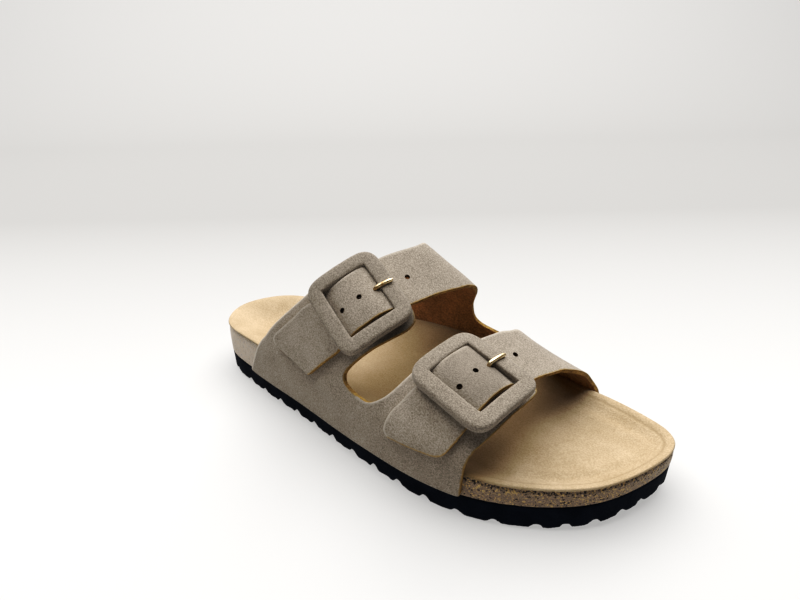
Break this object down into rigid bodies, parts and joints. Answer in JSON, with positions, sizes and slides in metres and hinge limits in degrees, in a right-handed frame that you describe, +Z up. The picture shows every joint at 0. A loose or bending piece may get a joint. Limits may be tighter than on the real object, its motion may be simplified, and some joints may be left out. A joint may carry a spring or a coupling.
{
  "type": "sandal",
  "caption": "Slide sandal with buckled suede straps over a moulded cork footbed and a lugged foam outsole, open at the toe and the heel.",
  "frame": {"origin": "on the floor under the middle of the shoe's bounding box", "axes": "+X towards the toes, +Y towards the inner side of the foot, +Z up"},
  "size_m": [0.2674, 0.1038, 0.0971],
  "materials": {
    "black_foam": "matt moulded foam, near black",
    "cork": "sealed cork granules, grey brown with golden flecks",
    "tan_suede": "brushed suede, tan",
    "taupe_suede": "brushed suede, taupe with raw golden edges",
    "brass": "satin"
  },
  "bodies": {
    "root": {"outsole": "black_foam", "footbed": "cork", "insole": "tan_suede", "upper": "taupe_suede", "buckle_back_frame": "taupe_suede", "buckle_front_frame": "taupe_suede", "buckle_back_pin": "brass", "buckle_front_pin": "brass"}
  },
  "joints": []
}
